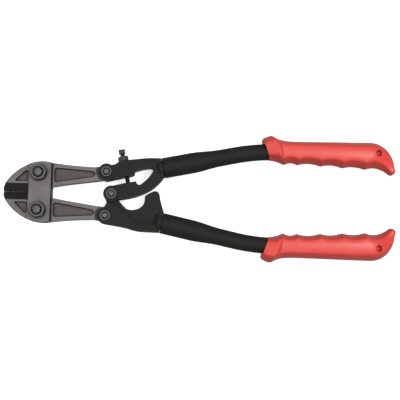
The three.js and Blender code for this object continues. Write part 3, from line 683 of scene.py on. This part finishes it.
# A grip is drawn in its own axes: distance back from its front, and height over the handle's centre line.
GRIP_FRONT = 141.5                             # from the handle pivot, along X
GRIP_SHANK, GRIP_END, TIP_BULGE = 96.0, 26.0, 3.4   # straight length, curved length, rounding of the tip
FLANGE_CREST, RIDGE_HEIGHT, RIDGE_FADE = 9.5, 1.8, 9
FRONT_LEAN = 0.3                               # slope of the front face, whose outer edge comes forward
RIDGES = [12.7, 27.5, 48.9, 69.3, 90.1]        # crests between the finger hollows
OUTER = [(0, 11.5), (2.2, 13.2), (8.1, 15.4), (12.4, 12.8), (16.3, 11.1), (22.4, 10.4), (32.6, 10.2),
         (60, 10.2), (80, 10.2), (GRIP_SHANK, 10.1)]
OUTER_END = [(GRIP_SHANK, 10.1), (108, 10.1), (118, -0.4), (118, -14)]
INNER_END = [(GRIP_SHANK, -13.8), (103, -13.8), (107.4, -16), (112.1, -19.8)]
QUARTER = [(0, 1), (0.34, 0.98), (0.58, 0.9), (0.73, 0.68), (0.88, 0.4), (1, 0)]
BORE, BORE_END = 7.8, 183.0                    # radius, and distance along the handle's centre line
DIMPLE, DIMPLE_RADIUS, DIMPLE_DEPTH, DIMPLE_FACES = (101.5, -1.1), 2.6, 3.4, 5


def catmull(points, t):
    """A point on a Catmull-Rom curve through the points, t from 0 to the number of spans."""
    i = min(int(t), len(points) - 2)
    u = t - i
    p = [Vector(points[min(max(i + k, 0), len(points) - 1)]) for k in (-1, 0, 1, 2)]
    v0, v1 = (p[2] - p[0]) / 2, (p[3] - p[1]) / 2
    cubic = 2 * p[1] - 2 * p[2] + v0 + v1
    square = 3 * p[2] - 3 * p[1] - 2 * v0 - v1
    return cubic * u ** 3 + square * u ** 2 + v0 * u + p[1]


def bezier(points, t):
    """A point on a cubic Bezier curve, t from 0 to 1."""
    p = [Vector(q) for q in points]
    return p[0] * (1 - t) ** 3 + p[1] * 3 * t * (1 - t) ** 2 + p[2] * 3 * t * t * (1 - t) + p[3] * t ** 3


def ridge_swell(a):
    """1 on a crest between two finger hollows, down to 0 in the middle of a hollow."""
    following = [r for r in RIDGES if a < r]
    if len(following) in (0, len(RIDGES)):
        beyond = RIDGES[0] - a if following else a - RIDGES[-1]
        return max(0.0, 1 - beyond / RIDGE_FADE) ** 2
    high = following[0]
    low = RIDGES[RIDGES.index(high) - 1]
    return (2 * (a - low) / (high - low) - 1) ** 2


def outer_height(a):
    """Height of the outer edge on the straight part, on a smooth curve through OUTER."""
    last = len(OUTER) - 1
    i = next((k for k in range(1, last) if OUTER[k][0] >= a), last)
    low, high = OUTER[i - 1][0], OUTER[i][0]
    return catmull(OUTER, i - 1 + (a - low) / (high - low)).y


def inner_depth(a):
    """How far the inner edge lies below the centre line on the straight part."""
    return 8 + 2.1 * smoothstep(a, 0, 12) + 3.7 * smoothstep(a, 20, 102)


def half_depth(a):
    """Half of the grip's depth: it flares to the flange's crest, steps down behind and thins at the tip."""
    flare = 2.9 * min(a / FLANGE_CREST, 1)
    step = 1.6 * smoothstep(a, FLANGE_CREST, 14)
    swell = 0.4 * smoothstep(a, 30, 85)
    return 9.5 + flare - step + swell - 4.6 * smoothstep(a, 94, 122)


def grip_station(a):
    """Outer point, inner point, half depth and ridge height of the section at a station."""
    ridge = RIDGE_HEIGHT * ridge_swell(a) * min(a / 8, 1)
    if a <= GRIP_SHANK:
        lean = FRONT_LEAN * (1 - smoothstep(a, 6, 30))
        lip = 1 - smoothstep(a, 0, 8)
        top, bottom = outer_height(a), -inner_depth(a)
        outer = Vector((a - (lean + 0.14 * lip) * top, top))
        inner = Vector((a - (lean - 0.09 * lip) * bottom, bottom))
        return outer, inner, half_depth(a), ridge
    turn = (a - GRIP_SHANK) / GRIP_END
    return bezier(OUTER_END, turn), bezier(INNER_END, turn), half_depth(a), ridge


def section(steps=4):
    """The whole section as shares of the half width and half depth, from the crown round to the crown."""
    spans = len(QUARTER) - 1
    mirrored = [(-x, y) for x, y in QUARTER[1:3][::-1]] + QUARTER + [(0.88, -0.4), (0.73, -0.68)]
    quarter = [catmull(mirrored, 2 + spans * k / (spans * steps)) for k in range(spans * steps + 1)]
    quarter = [(min(max(q.x, 0), 1), min(max(q.y, 0), 1)) for q in quarter]
    loop = quarter + [(x, -y) for x, y in quarter[-2:0:-1]]
    return loop + [(-x, -y) for x, y in quarter[:-1]] + [(-x, y) for x, y in quarter[:0:-1]]


SECTION = section()
GRIP_AXIS = handle_axis(BEND_START + BEND_LENGTH)


def grip_point(a, b, z, sign):
    """A point in the grip's own axes as a place in the frame."""
    x0, y0, heading = GRIP_AXIS
    back = (x0 - GRIP_FRONT) / math.cos(heading)
    x = x0 - back * math.cos(heading) + a * math.cos(heading) - b * math.sin(heading)
    y = y0 - back * math.sin(heading) + a * math.sin(heading) + b * math.cos(heading)
    return in_frame(x, y, z, sign)


def dimpled(a, b, z):
    """The height of the skin with a round-lipped dimple sunk into the front and the back."""
    if abs(z) <= DIMPLE_FACES:
        return z
    away = math.hypot(a - DIMPLE[0], b - DIMPLE[1])
    drop = DIMPLE_DEPTH * (1 - smoothstep(away, DIMPLE_RADIUS - 0.55, DIMPLE_RADIUS + 0.25))
    return math.copysign(max(abs(z) - drop, 0), z)


def grip_rings():
    """Rings of points along the grip, closer together round the dimple and closing over the tip."""
    end = GRIP_SHANK + GRIP_END
    flange, shank = np.arange(0, 16, 0.5), np.arange(16, end, 0.8)
    near_dimple = np.arange(DIMPLE[0] - 5, DIMPLE[0] + 5, 0.3)
    stations = np.concatenate([flange, shank, near_dimple, [GRIP_SHANK, end]])
    stations = [a for a in sorted(set(np.round(stations, 3))) if a <= end]
    body = [grip_station(a) for a in stations]
    outer, inner, depth, _ = body[-1]
    middle, half = (outer + inner) / 2, (outer - inner) / 2
    forward = Vector((half.y, -half.x)).normalized()
    for angle in range(8, 90, 8):
        reach, shrink = math.sin(math.radians(angle)), math.cos(math.radians(angle))
        centre = middle + forward * TIP_BULGE * reach
        body.append((centre + half * shrink, centre - half * shrink, depth * shrink, 0))
    rings = []
    for outer, inner, depth, ridge in body:
        middle, half = (outer + inner) / 2, (outer - inner) / 2
        ring = []
        for across, out in SECTION:
            drop = ridge * smoothstep(-across, 0.1, 0.65)
            ring.append((middle.x + half.x * across, middle.y + half.y * across - drop, depth * out))
        rings.append(ring)
    return rings


GRIP_RINGS = grip_rings()


def bore_points(sign):
    """Three rings down the bore that the tube fills: its leaning mouth, just inside it and its end."""
    mouth = BEND_START + BEND_LENGTH + (GRIP_FRONT - GRIP_AXIS[0]) / math.cos(GRIP_AXIS[2])
    turns = [math.atan2(out, across) for across, out in SECTION]
    points = []
    for distance, lean in ((mouth, FRONT_LEAN), (mouth + 4, 0), (BORE_END, 0)):
        for turn in turns:
            across, out = BORE * math.cos(turn), BORE * math.sin(turn)
            points.append(beside_axis(distance, across, out, sign, -lean * across))
    return points


def grip_mesh(sign):
    """The skin from the front to the tip, and the bore from the front to its closed end."""
    around = len(SECTION)
    vertices = [grip_point(a, b, dimpled(a, b, z), sign) for ring in GRIP_RINGS for a, b, z in ring]
    faces = ring_faces(len(GRIP_RINGS), around)
    last = len(vertices) - around
    faces += fan_faces(last, around, len(vertices))
    vertices.append(sum(vertices[last:], Vector()) / around)
    front = len(vertices)
    vertices += bore_points(sign)
    for k in range(around):
        n = (k + 1) % around
        faces.append([k, front + k, front + n, n])
    faces += ring_faces(3, around, front)
    faces += fan_faces(front + 2 * around, around, len(vertices))
    vertices.append(beside_axis(BORE_END, 0, 0, sign))
    return vertices, faces


for side, sign in SIDES.items():
    points, faces = grip_mesh(sign)
    stand_in(f"{side}_grip", points, faces, f"{side}_handle", VINYL, smooth=50)

# ------------------------------------------------------------------ studio

FLOOR_HALF, FLOOR_DROP = 30, 0.0005            # in metres; the drop keeps it clear of the bolt heads

corners = [(x * FLOOR_HALF, y * FLOOR_HALF, 0) for x, y in ((-1, -1), (1, -1), (1, 1), (-1, 1))]
floor_mesh = bpy.data.meshes.new("floor")
floor_mesh.from_pydata(corners, [], [[0, 1, 2, 3]])
floor = bpy.data.objects.new("floor", floor_mesh)
bpy.context.scene.collection.objects.link(floor)
floor.location.z = -FLOOR_DROP
# Bounced and mirrored rays don't see the floor, so that undersides stay dark.
floor.visible_diffuse = False
floor.visible_glossy = False
pale = Graph("pale_floor")
pale.value(Specular_IOR_Level=0.0, Roughness=1.0, Emission_Strength=0.5)
pale.colour(pale.ramp(pale.noise(3, 2), (0.0, 0.84), (1.0, 0.86)))
floor.data.materials.append(pale.material)

world = bpy.data.worlds.new("studio")
bpy.context.scene.world = world
world.use_nodes = True
background = world.node_tree.nodes["Background"]
background.inputs["Color"].default_value = (1, 1, 1, 1)
background.inputs["Strength"].default_value = 0.62


def area_light(name, place, target, size, power):
    """A round lamp of a size in metres and a power in watts, pointed at a target."""
    light = bpy.data.lights.new(name, "AREA")
    light.shape = "DISK"
    light.size = size
    light.energy = power
    lamp = bpy.data.objects.new(name, light)
    bpy.context.scene.collection.objects.link(lamp)
    lamp.location = place
    lamp.rotation_euler = (Vector(target) - Vector(place)).to_track_quat("-Z", "Y").to_euler()


area_light("overhead", place=(0.0, 0.0, 1.6), target=(0, 0, 0), size=2.2, power=29)
area_light("softbox", place=(0.50, 0.13, 1.2), target=(0.12, 0, 0), size=0.20, power=3.6)

# ------------------------------------------------------------------ camera

# The camera and the point that it looks at, from the handle pivot.
CAMERA_OFFSET = Vector((47.39, -78.21, 700.0)) * MM
TARGET_OFFSET = Vector((80.35, -3.0, 0.0)) * MM
ROLL, LENS, SENSOR = -0.02262, 69.61, 36       # in radians and millimetres

camera_data = bpy.data.cameras.new("camera")
camera = bpy.data.objects.new("camera", camera_data)
bpy.context.scene.collection.objects.link(camera)
camera_data.sensor_width = SENSOR
camera_data.lens = LENS
camera_data.clip_start, camera_data.clip_end = 0.05, 100
eye, target = PIVOT + CAMERA_OFFSET, PIVOT + TARGET_OFFSET
back = (eye - target).normalized()
right = Vector((math.sin(ROLL), math.cos(ROLL), 0)).cross(back).normalized()
up = back.cross(right)
camera.matrix_world = Matrix((right, up, back)).transposed().to_4x4()
camera.location = eye
bpy.context.scene.camera = camera
bpy.context.scene.view_settings.view_transform = "Standard"
